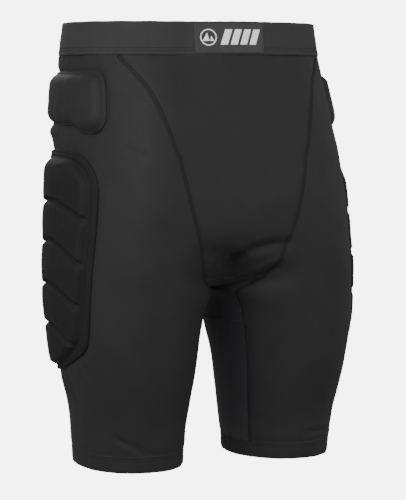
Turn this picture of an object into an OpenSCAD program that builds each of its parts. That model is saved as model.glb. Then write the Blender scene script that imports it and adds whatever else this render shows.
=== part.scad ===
// Padded impact shorts: stretch-knit shorts with moulded foam pads on the hips,
// thighs and tailbone. Millimetres. +Z is up, the front faces -Y, +X is the wearer's left.
// The origin is the centre of the waist opening, in the plane of the waistband's top edge.

/* [Fit] */
// Girth factor on every horizontal size
girth = 1.0; // [0.95:0.01:1.05]
// Length of the leg tube below the crotch, measured down to the hem
inseam = 190; // [170:5:205]
// Width of the shorts across the waist
waist_w = 276; // [268:2:284]
// Width of the shorts across the hips
hip_w = 316; // [308:2:324]

/* [Fabric] */
// Thickness of the knit fabric
fabric_t = 1.4; // [1.0:0.1:1.6]
// Height of the waistband
waistband_h = 36; // [32:1:40]
// Thickness of the elastic inside the waistband
elastic_t = 1.2; // [0.8:0.1:1.4]
// Height of the hem band
hem_h = 20; // [14:1:24]
// Width of a flat-lock seam
seam_w = 4.6; // [3.6:0.2:6]
// Width of the label sewn on the waistband
label_w = 82; // [60:2:90]

/* [Thigh pads] */
// Width of the thigh pad over its stitched flange
thigh_pad_w = 172; // [150:2:180]
// Height of the thigh pad over its stitched flange
thigh_pad_h = 242; // [220:2:250]
// Thickness of the foam blocks above the flange
thigh_pad_t = 10; // [6:0.5:13]
// Width of the grooves between the blocks
groove_w = 5; // [4:0.5:7]
// Fall of each groove from the pad's centre line to its edge
chevron_drop = 25; // [15:1:30]

/* [Hip pads] */
// Width of the hip pad, wrapped round the side
hip_pad_w = 164; // [140:2:170]
// Height of the hip pad
hip_pad_h = 64; // [54:1:66]
// Thickness of the hip pad's foam above its flange
hip_pad_t = 8; // [5:0.5:11]

/* [Tailbone pad] */
// Width of the tailbone pad
tail_pad_w = 94; // [84:2:96]
// Height of the tailbone pad
tail_pad_h = 128; // [110:2:134]
// Thickness of the tailbone pad's foam above its flange
tail_pad_t = 9; // [6:0.5:12]

/* [Hidden] */
ft = fabric_t / 2;
lift = 0.6;                       // air between a fabric and what is sewn on it

// ---- Body stations: front centre, front key, side key, back key, back centre ----
gx = girth;
wx = waist_w / 2;
hx = hip_w / 2;
torso = [for (s = [
  [-87,    0, 56,  -83,    0, wx,      12,    0, 56, 105,    0, 109,    0],
  [-94,  -38, 58,  -89,  -38, wx + 5,   9,  -38, 60, 111,  -38, 115,  -38],
  [-112, -90, 66, -109,  -90, hx - 10,  0,  -90, 66, 116,  -90, 119,  -90],
  [-125,-145, 74, -122, -140, hx - 5,  -8, -140, 70, 117, -140, 118, -145],
  [-131,-200, 82, -129, -190, hx,     -16, -190, 76, 112, -190, 106, -200],
  [-119,-248, 88, -129, -238, hx + 4, -21, -238, 82, 103, -240,  76, -250],
  [-76, -280, 91, -127, -266, hx + 7, -24, -266, 88,  95, -272,  32, -282],
  [-18, -290, 92, -124, -290, hx + 8, -25, -290, 91,  89, -292, -18, -290]])
  [[0, s[0] * gx, s[1]], [s[2] * gx, s[3] * gx, s[4]], [s[5] * gx, s[6] * gx, s[7]],
   [s[8] * gx, s[9] * gx, s[10]], [0, s[11] * gx, s[12]]]];

// Leg rows: inner edge, front key, side key, back key. d runs 0 at the crotch to 1 at the hem.
leg = [for (s = [
  [ 0, -18, 0,    92, -124, 0,    hx + 8, -25, 0,    91, 89, 0.01],
  [11, -20, 0.085, 93, -122, 0.115, hx + 8, -26, 0.115, 92, 82, 0.125],
  [18, -23, 0.255, 94, -118, 0.265, hx + 7, -27, 0.265, 94, 71, 0.275],
  [24, -25, 0.474, 94, -110, 0.474, hx + 3, -27, 0.474, 94, 56, 0.474],
  [30, -23, 0.737, 92,  -97, 0.737, hx - 7, -23, 0.737, 92, 50, 0.737],
  [34, -21, 1,    91,  -90, 1,    hx - 11, -19, 1,   91, 46, 1]])
  let (e = [s[0] * gx, s[1] * gx, -290 - s[2] * inseam])
  [e, [s[3] * gx, s[4] * gx, -290 - s[5] * inseam], [s[6] * gx, s[7] * gx, -290 - s[8] * inseam],
   [s[9] * gx, s[10] * gx, -290 - s[11] * inseam], e]];

// ---- Surface of the worn shorts, left half: v 0 waist, 1 crotch, 2 hem; t round the body ----
function at(T, i) = i < 0 ? 2 * T[0] - T[1]
  : i > len(T) - 1 ? 2 * T[len(T) - 1] - T[len(T) - 2] : T[i];
function cr(a, b, c, d, f) = 0.5 * ((2 * b) + (c - a) * f + (2 * a - 5 * b + 4 * c - d) * f * f
  + (3 * b - a - 3 * c + d) * f * f * f);
function station(T, q) = let (n = len(T) - 1, s = min(max(q, 0), 1) * n, i = min(floor(s), n - 1))
  cr(at(T, i - 1), at(T, i), at(T, i + 1), at(T, i + 2), s - i);
function arc_pt(a, b, q, n, first) =
  let (s = pow(sin(90 * q), 2 / n), c = pow(cos(90 * q), 2 / n),
       z = a.z + (b.z - a.z) * (1 - cos(180 * q)) / 2)
  first ? [a.x + (b.x - a.x) * (1 - c), a.y + (b.y - a.y) * s, z]
        : [a.x + (b.x - a.x) * s, a.y + (b.y - a.y) * (1 - c), z];
function edge_pt(e, k, q, loop) =
  let (m = (1 - cos(180 * q)) / 2, a = arc_pt(e, k, q, 2.1, true),
       o = [e.x + (k.x - e.x) * q, e.y + (k.y - e.y) * m, e.z + (k.z - e.z) * m])
  o * (1 - loop) + a * loop;
function half_pt(v, u) =
  let (T = v <= 1 ? station(torso, v) : station(leg, v - 1),
       loop = v > 1 ? 1 : pow(max(0, (v - 0.72) / 0.28), 2))
  u < 0.25 ? edge_pt(T[0], T[1], u * 4, loop)
  : u < 0.5 ? arc_pt(T[1], T[2], (u - 0.25) * 4, 2.25, false)
  : u < 0.75 ? arc_pt(T[2], T[3], (u - 0.5) * 4, 2.25, true)
  : edge_pt(T[4], T[3], (1 - u) * 4, loop);
function flip(p) = [-p.x, p.y, p.z];
function surf(v, t) = v > 1 ? half_pt(v, t < 0 ? t + 1 : t > 1 ? t - 1 : t)
  : t < 0 ? flip(half_pt(v, -t)) : t > 1 ? flip(half_pt(v, 2 - t)) : half_pt(v, t);

// ---- Seam lines on the surface ----
front_line = [[0, 0.42], [0.134, 0.376], [0.23, 0.312], [0.31, 0.284], [0.44, 0.250],
  [0.55, 0.205], [0.65, 0.165], [0.71, 0.138], [0.80, 0.120], [0.86, 0.108], [1, 0.0885], [2, 0.0885]];
back_line = [[0, 0.72], [0.134, 0.735], [0.30, 0.770], [0.50, 0.815], [0.70, 0.86],
  [0.80, 0.880], [0.86, 0.892], [1, 0.9115], [2, 0.9115]];
function fs(v) = lookup(v, front_line);
function bs(v) = lookup(v, back_line);
// Position a (0 front seam, 1 back seam) across the side and leg panel
function across(v, a) = let (p = fs(v), q = bs(v)) p + (q - p) * a;
// Step in t that covers w millimetres at v, t
function dt(v, t, w) = w * 0.012 / norm(surf(v, t + 0.006) - surf(v, t - 0.006));

// ---- Hip crease: height above a plane that falls outwards from the crotch ----
crease_root = -250;
crease_leg = -312;
function rise(v, a) = let (p = surf(v, across(v, a))) p.z - p.x;
function solve(a, h, lo, hi, n) = n == 0 ? (lo + hi) / 2
  : let (m = (lo + hi) / 2) rise(m, a) > h ? solve(a, h, m, hi, n - 1) : solve(a, h, lo, m, n - 1);
function root_end(a) = solve(a, crease_root, 0.15, 1.0, 10);
function leg_floor(a) = let (t = across(1, a), q = min(t, 1 - t)) 1.04 - 5.7 * max(0, q - 0.17);
function leg_start(a) = max(leg_floor(a), solve(a, crease_leg, 0.2, 1.5, 11));

// ---- Height lookups down the side ----
side_z = [for (k = [0:60]) let (v = k / 30) [-surf(v, 0.5).z, v]];
function v_at(z) = lookup(-z, side_z);
v_band = v_at(-waistband_h);
v_hem = v_at(-290 - inseam + hem_h);
v_label0 = v_at(-2.5);

// ---- Solid builders ----
function n_at(P, i, j, ring) =
  let (n = len(P) - 1, m = len(P[0]) - 1,
       ja = ring ? (j == 0 ? m : j - 1) : max(j - 1, 0), jb = ring ? (j == m ? 0 : j + 1) : min(j + 1, m),
       c = cross(P[min(i + 1, n)][j] - P[max(i - 1, 0)][j], P[i][jb] - P[i][ja])) c / norm(c);
function lifted(P, h, ring = false) = [for (i = [0:len(P) - 1]) [for (j = [0:len(P[0]) - 1])
  P[i][j] + n_at(P, i, j, ring) * (is_list(h) ? h[i][j] : h)]];
function flat(P) = [for (r = P) for (p = r) p];
// Closed shell between the surfaces P + h0 and P + h1 along the normal
module shell(P, h0, h1, ring = false) {
  n = len(P) - 1; m = len(P[0]) - 1; w = m + 1; k = (n + 1) * w;
  jm = ring ? m : m - 1;
  out = flat(lifted(P, h1, ring)); inn = flat(lifted(P, h0, ring));
  f = concat(
    [for (i = [0:n - 1]) for (j = [0:jm]) let (q = (j + 1) % w, a = i * w)
      each [[a + j, a + q, a + w + q], [a + j, a + w + q, a + w + j]]],
    [for (i = [0:n - 1]) for (j = [0:jm]) let (q = (j + 1) % w, a = i * w + k)
      each [[a + j, a + w + q, a + q], [a + j, a + w + j, a + w + q]]],
    [for (j = [0:jm]) let (q = (j + 1) % w) each [[q, j, k + j], [q, k + j, k + q]]],
    [for (j = [0:jm]) let (q = (j + 1) % w, a = n * w)
      each [[a + j, a + q, k + a + q], [a + j, k + a + q, k + a + j]]],
    ring ? [] : [for (i = [0:n - 1]) let (a = i * w)
      each [[a, a + w, k + a + w], [a, k + a + w, k + a]]],
    ring ? [] : [for (i = [0:n - 1]) let (a = i * w + m)
      each [[a + w, a, k + a], [a + w, k + a, k + a + w]]]);
  polyhedron(points = concat(out, inn), faces = f, convexity = 8);
}
// Closed tube: a profile of rows that wraps on itself, swept round the body
module loop_solid(R) {
  n = len(R); w = len(R[0]);
  polyhedron(points = flat(R), convexity = 8, faces = [for (i = [0:n - 1]) for (j = [0:w - 1])
    let (a = i * w, b = ((i + 1) % n) * w, q = (j + 1) % w)
    each [[a + j, a + q, b + q], [a + j, b + q, b + j]]]);
}
// Patch between two seam lines: rows v0..v1, columns t from ta(v) to tb(v)
function strip(v0, v1, n, m, side) = [for (i = [0:n]) let (v = v0 + (v1 - v0) * i / n,
    g = dt(v, side < 0 ? fs(v) : bs(v), 1.2),
    a = side < 0 ? -(fs(v) - g) : bs(v) + g, b = side < 0 ? fs(v) - g : 2 - bs(v) - g)
  [for (j = [0:m]) surf(v, a + (b - a) * j / m)]];
// Patch of the side and leg panel: column a runs 0..1, rows from top(a) to bottom(a)
function panel(tops, ends, n) = let (m = len(tops) - 1) [for (i = [0:n]) [for (j = [0:m])
  let (a = 0.006 + 0.988 * j / m, v = tops[j] + (ends[j] - tops[j]) * i / n) surf(v, across(v, a))]];
function ribbon(v0, v1, n, line) = [for (i = [0:n]) let (v = v0 + (v1 - v0) * i / n,
    t = lookup(v, line), d = dt(v, t, seam_w / 2)) [surf(v, t - d), surf(v, t), surf(v, t + d)]];

// ---- Pads: s runs round the side from the pad's centre line, z is height ----
function run(v) = [for (k = 0, a = 0; k <= 40; k = k + 1,
  a = a + norm(surf(v, 0.15 + (k > 40 ? 40 : k) * 0.0175) - surf(v, 0.15 + (k - 1) * 0.0175)))
  [a, 0.15 + k * 0.0175]];
function swap(T) = [for (r = T) [r[1], r[0]]];
// Point at arc distance s behind the pad's centre, which sits c behind the side line
function on_side(z, c, svals) = let (v = v_at(z), T = run(v), mid = lookup(0.5, swap(T)))
  [for (s = svals) surf(v, lookup(mid + c + s, T))];
// Half width at height q (-1 top, 1 bottom); e gives the squareness of the top and bottom corners
function half_w(q, w, e) = let (k = is_list(e) ? (q < 0 ? e[0] : e[1]) : e)
  w / 2 * pow(1 - pow(min(abs(q), 0.985), k), 1 / k);
function span(m) = [for (j = [0:m]) -1 + 2 * j / m];
// Rows lie closer together near the top and bottom edges, where the outline turns in; r rounds its corners
function pad_grid(zc, h, w, c, e, n, m, r = 0.985) = [for (i = [0:n])
  let (q = sin(180 * i / n - 90), hw = half_w(q * r, w, e))
  on_side(zc - q * h * 0.4925, c, [for (p = span(m)) p * hw])];
// Block of a pad: its top and bottom edges fall from the centre line as chevrons
function block_grid(zc, h, w, c, e, z0, z1, d0, d1, n, m) = let (cols = [for (p = span(m))
    [for (i = [0:n]) let (f = i / n, z = z0 + (z1 - z0) * f - (d0 + (d1 - d0) * f) * pow(abs(p), 1.15),
      q = (zc - z) / (h / 2)) [z, p * half_w(q, w, e)]]])
  [for (i = [0:n]) [for (j = [0:m]) on_side(cols[j][i][0], c, [cols[j][i][1]])[0]]];
function dome(n, m, low, high) = [for (i = [0:n]) [for (j = [0:m])
  let (a = min(i, n - i), b = min(j, m - j)) min(a, b) == 0 ? low : high]];

// Pad places
thigh_zc = -136 - thigh_pad_h / 2;
thigh_c = 24;
thigh_e = [4.2, 2.3];
hip_zc = -54 - hip_pad_h / 2;
hip_c = 14;
tail_zc = -106 - tail_pad_h / 2;
flange_h0 = ft + 0.8;
flange_h1 = flange_h0 + 1.0;
foam_h0 = flange_h1 + 0.6;

// ---- Waistband ----
band_cols = 60;
function band_ring(v, h) = let (R = [for (d = [-0.01, 0, 0.01]) [for (j = [0:band_cols - 1])
    surf(v + d, 2 * j / band_cols)]])
  [for (j = [0:band_cols - 1]) R[1][j] + n_at(R, 1, j, true) * h];
module waistband_casing() {
  o = elastic_t / 2 + 1.4; c = elastic_t / 2 + 0.4; b = v_band - 0.004;
  color([0.19, 0.19, 0.2]) loop_solid([band_ring(0, -o), band_ring(0, o), band_ring(b / 3, o),
    band_ring(b * 2 / 3, o), band_ring(b, o), band_ring(b, c), band_ring(b * 2 / 3, c),
    band_ring(b / 3, c), band_ring(0.006, c), band_ring(0.006, -c), band_ring(b / 3, -c),
    band_ring(b * 2 / 3, -c), band_ring(b, -c), band_ring(b, -o), band_ring(b * 2 / 3, -o),
    band_ring(b / 3, -o)]);
}
module waistband_elastic() {
  e = elastic_t / 2;
  a = 0.011; b = v_band - 0.008; d = v_band / 3;
  color([0.8, 0.8, 0.8]) loop_solid([band_ring(a, -e), band_ring(a, e), band_ring(d, e),
    band_ring(2 * d, e), band_ring(b, e), band_ring(b, -e), band_ring(2 * d, -e), band_ring(d, -e)]);
}
module label_patch() {
  color([0.28, 0.28, 0.29]) shell([for (i = [0:3]) let (v = v_label0 + (v_band - 0.006 - v_label0) * i / 3,
    d = dt(v, 0, label_w / 2)) [for (j = [0:14]) surf(v, (-1 + j / 7) * d)]],
    elastic_t / 2 + 2.1, elastic_t / 2 + 2.9);
}

// ---- Trunk panels ----
module front_panel() {
  color([0.17, 0.17, 0.18]) shell(strip(v_band + 0.006, 0.845, 15, 12, -1), -ft, ft);
}
module seat_panel() {
  color([0.16, 0.16, 0.17]) shell(strip(v_band + 0.006, 0.845, 15, 14, 1), -ft, ft);
}
module crotch_gusset() {
  path = concat([for (v = [0.88, 0.92, 0.96]) station(torso, v)[0]], [[0, -18 * gx, -290.5]],
    [for (v = [0.96, 0.92, 0.88]) station(torso, v)[4]]);
  color([0.15, 0.15, 0.16])
    shell([for (p = path) [for (x = [10, 5, 0, -5, -10]) p + [x, 0, -0.02 * x * x]]], -ft, ft);
}
side_cols = 22;
function cols(m) = [for (j = [0:m]) j / m];
module side_panel() {
  shell(panel([for (a = cols(side_cols)) v_band + 0.006], [for (a = cols(side_cols)) root_end(a)], 8),
    -ft, ft);
}
module side_panel_left() { color([0.17, 0.17, 0.18]) side_panel(); }
module side_panel_right() { color([0.17, 0.17, 0.18]) mirror([1, 0, 0]) side_panel(); }

// ---- Stretch zones at the hip creases ----
module hip_flex() {
  shell(panel([for (a = cols(side_cols)) root_end(a) + 0.006],
    [for (a = cols(side_cols)) leg_start(a) - 0.006], 7), -ft, ft);
}
module hip_flex_left() { color([0.18, 0.18, 0.19]) hip_flex(); }
module hip_flex_right() { color([0.18, 0.18, 0.19]) mirror([1, 0, 0]) hip_flex(); }

// ---- Leg panels ----
module outer_leg_panel() {
  shell(panel([for (a = cols(side_cols)) leg_start(a)], [for (a = cols(side_cols)) v_hem - 0.005], 12),
    -ft, ft);
}
module outer_leg_panel_left() { color([0.17, 0.17, 0.18]) outer_leg_panel(); }
module outer_leg_panel_right() { color([0.17, 0.17, 0.18]) mirror([1, 0, 0]) outer_leg_panel(); }
function inner_grid(v0, v1, n, m) = [for (i = [0:n]) let (v = v0 + (v1 - v0) * i / n,
    b = 0.0885 - dt(v, 0.0885, 1.4), a = -0.0885 + dt(v, 0.9115, 1.4))
  [for (j = [0:m]) surf(v, a + (b - a) * j / m)]];
module inner_leg_panel() { shell(inner_grid(1.335, v_hem - 0.005, 9, 8), -ft, ft); }
module inner_leg_panel_left() { color([0.15, 0.15, 0.16]) inner_leg_panel(); }
module inner_leg_panel_right() { color([0.15, 0.15, 0.16]) mirror([1, 0, 0]) inner_leg_panel(); }
module gusset_wing() { shell(inner_grid(1.13, 1.325, 3, 8), -ft, ft); }
module gusset_wing_left() { color([0.15, 0.15, 0.16]) gusset_wing(); }
module gusset_wing_right() { color([0.15, 0.15, 0.16]) mirror([1, 0, 0]) gusset_wing(); }
module hem_band() {
  shell([for (i = [0:3]) let (v = v_hem + 0.002 + (1.999 - v_hem - 0.002) * i / 3)
    [for (j = [0:35]) surf(v, j / 36)]], -fabric_t, fabric_t, true);
}
module hem_band_left() { color([0.16, 0.16, 0.17]) hem_band(); }
module hem_band_right() { color([0.16, 0.16, 0.17]) mirror([1, 0, 0]) hem_band(); }

// ---- Flat-lock seams ----
module trunk_seam(line) {
  color([0.1, 0.1, 0.1]) shell(ribbon(v_band + 0.008, 0.84, 22, line), ft + lift, ft + lift + 0.9);
}
module leg_seam(line) {
  color([0.1, 0.1, 0.1]) shell(ribbon(1.14, v_hem - 0.008, 12, line), ft + lift, ft + lift + 0.9);
}
module front_seam_left() { trunk_seam(front_line); }
module front_seam_right() { mirror([1, 0, 0]) trunk_seam(front_line); }
module back_seam_left() { trunk_seam(back_line); }
module back_seam_right() { mirror([1, 0, 0]) trunk_seam(back_line); }
module inseam_front_left() { leg_seam(front_line); }
module inseam_front_right() { mirror([1, 0, 0]) leg_seam(front_line); }
module inseam_back_left() { leg_seam(back_line); }
module inseam_back_right() { mirror([1, 0, 0]) leg_seam(back_line); }

// ---- Hip pads ----
module hip_pad_flange() {
  shell(pad_grid(hip_zc, hip_pad_h, hip_pad_w, hip_c, 4, 9, 18, 0.93), flange_h0, flange_h1);
}
module hip_pad_block() {
  shell(pad_grid(hip_zc, hip_pad_h - 9, hip_pad_w - 9, hip_c, 4, 9, 18, 0.93), foam_h0,
    dome(9, 18, foam_h0 + 3, foam_h0 + hip_pad_t));
}
module hip_pad_flange_left() { color([0.13, 0.13, 0.13]) hip_pad_flange(); }
module hip_pad_flange_right() { color([0.13, 0.13, 0.13]) mirror([1, 0, 0]) hip_pad_flange(); }
module hip_pad_block_left() { color([0.14, 0.14, 0.15]) hip_pad_block(); }
module hip_pad_block_right() { color([0.14, 0.14, 0.15]) mirror([1, 0, 0]) hip_pad_block(); }

// ---- Thigh pads ----
block_w = thigh_pad_w - 18;
block_h = thigh_pad_h - 18;
groove_z = [for (k = [0:3]) thigh_zc + thigh_pad_h / 2 - 48 - k * 46.5 * thigh_pad_h / 242];
module thigh_pad_flange() {
  shell(pad_grid(thigh_zc, thigh_pad_h, thigh_pad_w, thigh_c, thigh_e, 16, 18), flange_h0, flange_h1);
}
module thigh_block(k) {
  top = thigh_zc + block_h * 0.49;
  end = thigh_zc - block_h * 0.49;
  z0 = k == 1 ? top : groove_z[k - 2] - groove_w / 2;
  z1 = k == 5 ? end : groove_z[k - 1] + groove_w / 2;
  d0 = k == 1 ? 4 : chevron_drop;
  d1 = k == 5 ? 0 : chevron_drop;
  shell(block_grid(thigh_zc, block_h, block_w, thigh_c, thigh_e, z0, z1, d0, d1, 5, 12),
    foam_h0, dome(5, 12, foam_h0 + 2.5, foam_h0 + thigh_pad_t));
}
module thigh_pad_flange_left() { color([0.13, 0.13, 0.13]) thigh_pad_flange(); }
module thigh_pad_flange_right() { color([0.13, 0.13, 0.13]) mirror([1, 0, 0]) thigh_pad_flange(); }
module thigh_pad_block_left_1() { color([0.14, 0.14, 0.15]) thigh_block(1); }
module thigh_pad_block_left_2() { color([0.14, 0.14, 0.15]) thigh_block(2); }
module thigh_pad_block_left_3() { color([0.14, 0.14, 0.15]) thigh_block(3); }
module thigh_pad_block_left_4() { color([0.14, 0.14, 0.15]) thigh_block(4); }
module thigh_pad_block_left_5() { color([0.14, 0.14, 0.15]) thigh_block(5); }
module thigh_pad_block_right_1() { color([0.14, 0.14, 0.15]) mirror([1, 0, 0]) thigh_block(1); }
module thigh_pad_block_right_2() { color([0.14, 0.14, 0.15]) mirror([1, 0, 0]) thigh_block(2); }
module thigh_pad_block_right_3() { color([0.14, 0.14, 0.15]) mirror([1, 0, 0]) thigh_block(3); }
module thigh_pad_block_right_4() { color([0.14, 0.14, 0.15]) mirror([1, 0, 0]) thigh_block(4); }
module thigh_pad_block_right_5() { color([0.14, 0.14, 0.15]) mirror([1, 0, 0]) thigh_block(5); }

// ---- Tailbone pad ----
v_tail = [for (k = [0:40]) let (v = k / 40) [-surf(v, 1).z, v]];
function tail_grid(h, w, z0, z1, d0, d1, e, n, m) = [for (i = [0:n]) [for (p = span(m))
  let (f = i / n, z = z0 + (z1 - z0) * f - (d0 + (d1 - d0) * f) * abs(p), q = (tail_zc - z) / (h / 2),
       hw = half_w(q, w, e), v = lookup(-z, v_tail), s = p * hw, t = 1 + dt(v, 1, s)) surf(v, t)]];
tail_top = tail_zc + tail_pad_h / 2;
module tail_pad_flange() {
  color([0.13, 0.13, 0.13]) shell(tail_grid(tail_pad_h, tail_pad_w, tail_top - 1, tail_top - tail_pad_h + 1,
    0, 0, 3, 10, 8), flange_h0, flange_h1);
}
module tail_block(a, b, d0, d1) {
  bh = tail_pad_h - 14;
  color([0.14, 0.14, 0.15]) shell(tail_grid(bh, tail_pad_w - 14, tail_zc + bh * (0.5 - a),
    tail_zc + bh * (0.5 - b), d0, d1, 3, 4, 8), foam_h0, dome(4, 8, foam_h0 + 2.5, foam_h0 + tail_pad_t));
}
module tail_pad_block_1() { tail_block(0.01, 0.31, 0, 10); }
module tail_pad_block_2() { tail_block(0.355, 0.61, 10, 10); }
module tail_pad_block_3() { tail_block(0.655, 0.99, 10, 0); }

waistband_casing();
waistband_elastic();
label_patch();
front_panel();
seat_panel();
crotch_gusset();
side_panel_left();
side_panel_right();
hip_flex_left();
hip_flex_right();
outer_leg_panel_left();
outer_leg_panel_right();
inner_leg_panel_left();
inner_leg_panel_right();
gusset_wing_left();
gusset_wing_right();
hem_band_left();
hem_band_right();
front_seam_left();
front_seam_right();
back_seam_left();
back_seam_right();
inseam_front_left();
inseam_front_right();
inseam_back_left();
inseam_back_right();
hip_pad_flange_left();
hip_pad_flange_right();
hip_pad_block_left();
hip_pad_block_right();
thigh_pad_flange_left();
thigh_pad_flange_right();
thigh_pad_block_left_1();
thigh_pad_block_left_2();
thigh_pad_block_left_3();
thigh_pad_block_left_4();
thigh_pad_block_left_5();
thigh_pad_block_right_1();
thigh_pad_block_right_2();
thigh_pad_block_right_3();
thigh_pad_block_right_4();
thigh_pad_block_right_5();
tail_pad_flange();
tail_pad_block_1();
tail_pad_block_2();
tail_pad_block_3();
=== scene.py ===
import math
import bpy
import numpy as np
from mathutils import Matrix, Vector


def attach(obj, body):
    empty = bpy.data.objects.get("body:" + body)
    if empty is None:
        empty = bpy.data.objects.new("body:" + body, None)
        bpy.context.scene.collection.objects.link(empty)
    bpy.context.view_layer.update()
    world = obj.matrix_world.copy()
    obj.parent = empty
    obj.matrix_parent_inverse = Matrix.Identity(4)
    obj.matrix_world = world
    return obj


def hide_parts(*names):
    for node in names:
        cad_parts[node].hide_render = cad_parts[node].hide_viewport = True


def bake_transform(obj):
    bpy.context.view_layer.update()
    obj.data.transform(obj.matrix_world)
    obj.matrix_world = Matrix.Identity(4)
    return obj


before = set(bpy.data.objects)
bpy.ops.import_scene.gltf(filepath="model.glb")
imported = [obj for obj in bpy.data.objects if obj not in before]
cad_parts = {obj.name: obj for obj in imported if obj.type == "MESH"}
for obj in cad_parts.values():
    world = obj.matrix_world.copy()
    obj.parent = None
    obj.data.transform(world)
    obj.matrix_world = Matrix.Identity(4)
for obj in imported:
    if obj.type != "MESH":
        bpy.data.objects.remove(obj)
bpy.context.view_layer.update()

# Padded impact shorts. Shapes are worked out in millimetres on one master surface of the worn
# shorts and stored in metres. v runs down (0 waist, 1 crotch, 2 hem), t runs round the left half
# (0 front centre, 0.5 side line, 1 back centre; on a leg it wraps round the tube).
pi = math.pi

# ---------------------------------------------------------------- master surface
TORSO = np.array([
    [(0, -87, 0), (56, -83, 0), (138, 12, 0), (56, 105, 0), (0, 109, 0)],
    [(0, -94, -38), (58, -89, -38), (143, 9, -38), (60, 111, -38), (0, 115, -38)],
    [(0, -112, -90), (66, -109, -90), (148, 0, -90), (66, 116, -90), (0, 119, -90)],
    [(0, -125, -145), (74, -122, -140), (153, -8, -140), (70, 117, -140), (0, 118, -145)],
    [(0, -131, -200), (82, -129, -190), (158, -16, -190), (76, 112, -190), (0, 106, -200)],
    [(0, -119, -248), (88, -129, -238), (162, -21, -238), (82, 103, -240), (0, 76, -250)],
    [(0, -76, -280), (91, -127, -266), (165, -24, -266), (88, 95, -272), (0, 32, -282)],
    [(0, -18, -290), (92, -124, -290), (166, -25, -290), (91, 89, -292), (0, -18, -290)]], float)
LEG = np.array([
    [(0, -18, -290), (92, -124, -290), (166, -25, -290), (91, 89, -292)],
    [(11, -20, -306), (93, -122, -312), (166, -26, -312), (92, 82, -314)],
    [(18, -23, -338), (94, -118, -340), (165, -27, -340), (94, 71, -342)],
    [(24, -25, -380), (94, -110, -380), (161, -27, -380), (94, 56, -380)],
    [(30, -23, -430), (92, -97, -430), (151, -23, -430), (92, 50, -430)],
    [(34, -21, -480), (91, -90, -480), (147, -19, -480), (91, 46, -480)]], float)
LEG = np.concatenate([LEG, LEG[:, :1]], 1)
NT, NL, NC = 240, 160, 480
CROTCH = (0, -18, -290)
INNER_T = 0.0885      # the inner leg panel reaches this far round the leg either way from t = 0


def stations(T, q):
    n = len(T) - 1
    s = np.clip(q, 0, 1) * n
    i = np.minimum(s.astype(int), n - 1)
    f = (s - i)[:, None, None]
    E = np.concatenate([[2 * T[0] - T[1]], T, [2 * T[-1] - T[-2]]])
    a, b, c, d = E[i], E[i + 1], E[i + 2], E[i + 3]
    return 0.5 * (2 * b + (c - a) * f + (2 * a - 5 * b + 4 * c - d) * f * f
                  + (3 * b - a - 3 * c + d) * f ** 3)


def arc(a, b, q, n, first):
    s = np.sin(pi / 2 * q) ** (2 / n)
    c = np.clip(np.cos(pi / 2 * q), 0, 1) ** (2 / n)
    m = (1 - np.cos(pi * q)) / 2
    w = np.stack([1 - c, s, m] if first else [s, 1 - c, m], -1)
    return a[:, None] + (b - a)[:, None] * w[None]


def edge(e, k, q, loop):
    m = (1 - np.cos(pi * q)) / 2
    o = e[:, None] + (k - e)[:, None] * np.stack([q, m, m], -1)[None]
    return o * (1 - loop)[:, None, None] + arc(e, k, q, 2.1, True) * loop[:, None, None]


def rows_of(T, loop):
    u = np.linspace(0, 1, NC + 1)
    k = NC // 4
    return np.concatenate([
        edge(T[:, 0], T[:, 1], u[:k] * 4, loop),
        arc(T[:, 1], T[:, 2], (u[k:2 * k] - 0.25) * 4, 2.25, False),
        arc(T[:, 2], T[:, 3], (u[2 * k:3 * k] - 0.5) * 4, 2.25, True),
        edge(T[:, 4], T[:, 3], (1 - u[3 * k:]) * 4, loop)], 1)


def padded_cols(P):
    """One more column each side: mirrored on the trunk, wrapped on the legs."""
    L, R = P[:, 1:2].copy(), P[:, -2:-1].copy()
    L[:NT] *= (-1, 1, 1)
    R[:NT] *= (-1, 1, 1)
    L[NT:], R[NT:] = P[NT:, -2:-1], P[NT:, 1:2]
    return np.concatenate([L, P, R], 1)


def normals(P):
    E = padded_cols(P)
    du = E[:, 2:] - E[:, :-2]
    dv = np.empty_like(P)
    dv[1:-1] = P[2:] - P[:-2]
    dv[0], dv[-1] = P[1] - P[0], P[-1] - P[-2]
    n = np.cross(dv, du)
    return n / np.maximum(np.linalg.norm(n, axis=-1, keepdims=True), 1e-9)


vt = np.linspace(0, 1, NT + 1)
BASE = np.concatenate([rows_of(stations(TORSO, vt), np.maximum(0, (vt - 0.72) / 0.28) ** 2),
                       rows_of(stations(LEG, np.linspace(0, 1, NL + 1)[1:]), np.ones(NL))])
VV = np.concatenate([vt, 1 + np.linspace(0, 1, NL + 1)[1:]])
UU = np.linspace(0, 1, NC + 1)

# The crotch is softened where the two tubes meet the trunk.
near = np.exp(-(np.linalg.norm((BASE - (0, -18, -292)) / (26, 46, 24), axis=-1)) ** 2)[..., None]
for _ in range(40):
    E = padded_cols(BASE)
    mean = (E[:, 2:] + E[:, :-2]) / 2
    mean[1:-1] = (mean[1:-1] + (BASE[2:] + BASE[:-2]) / 2) / 2
    mean[NT, 0] = mean[NT, -1] = (BASE[NT - 1, 0] + BASE[NT - 1, -1] + 2 * BASE[NT + 1, 0]) / 4 * (0, 1, 1)
    BASE = BASE + (mean - BASE) * near * 0.8
    BASE[:NT + 1, 0, 0] = BASE[:NT + 1, -1, 0] = 0
# The slope runs on smoothly from the trunk into each leg.
row = np.arange(len(BASE))
K = np.exp(-((row[:, None] - row[None]) / 20.0) ** 2)
K /= K.sum(1, keepdims=True)
off_inner = np.clip((np.minimum(UU, 1 - UU) - 0.03) / 0.08, 0, 1) ** 2
share = np.exp(-((row - NT) / 30.0) ** 2)[:, None] * off_inner[None]
BASE = BASE + (np.einsum("ij,jkl->ikl", K, BASE) - BASE) * share[..., None]
NBASE = normals(BASE)

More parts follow.
